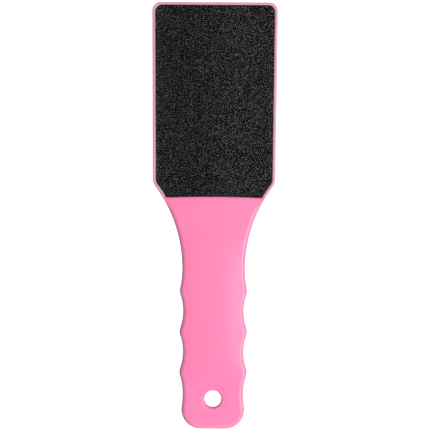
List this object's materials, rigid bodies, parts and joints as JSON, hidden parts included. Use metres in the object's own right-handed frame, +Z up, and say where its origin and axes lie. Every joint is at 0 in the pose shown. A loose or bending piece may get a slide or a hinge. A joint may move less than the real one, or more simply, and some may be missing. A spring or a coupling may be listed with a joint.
{
  "type": "foot file",
  "caption": "Flat paddle-shaped foot file: a moulded plastic handle with finger waves and a hang hole, and an abrasive sheet bonded to each face of its wide head.",
  "frame": {"origin": "middle of the footprint, on the surface that the rear abrasive lies on", "axes": "+Y along the file towards the tip of the head, +Z up out of the front (coarse) face, +X to the right when the front face is seen with the head up"},
  "size_m": [0.0736, 0.25, 0.0059],
  "materials": {
    "pink_plastic": "semi-gloss injection moulding",
    "adhesive": "tacky pressure-sensitive film",
    "abrasive_backing": "latex-treated dark paper",
    "coarse_grit": "coarse silicon carbide grains in resin",
    "fine_grit": "fine silicon carbide grains in resin"
  },
  "bodies": {
    "root": {"paddle": "pink_plastic", "front_adhesive_film": "adhesive", "front_backing_sheet": "abrasive_backing", "front_grit_coat": "coarse_grit", "rear_adhesive_film": "adhesive", "rear_backing_sheet": "abrasive_backing", "rear_grit_coat": "fine_grit"}
  },
  "joints": []
}
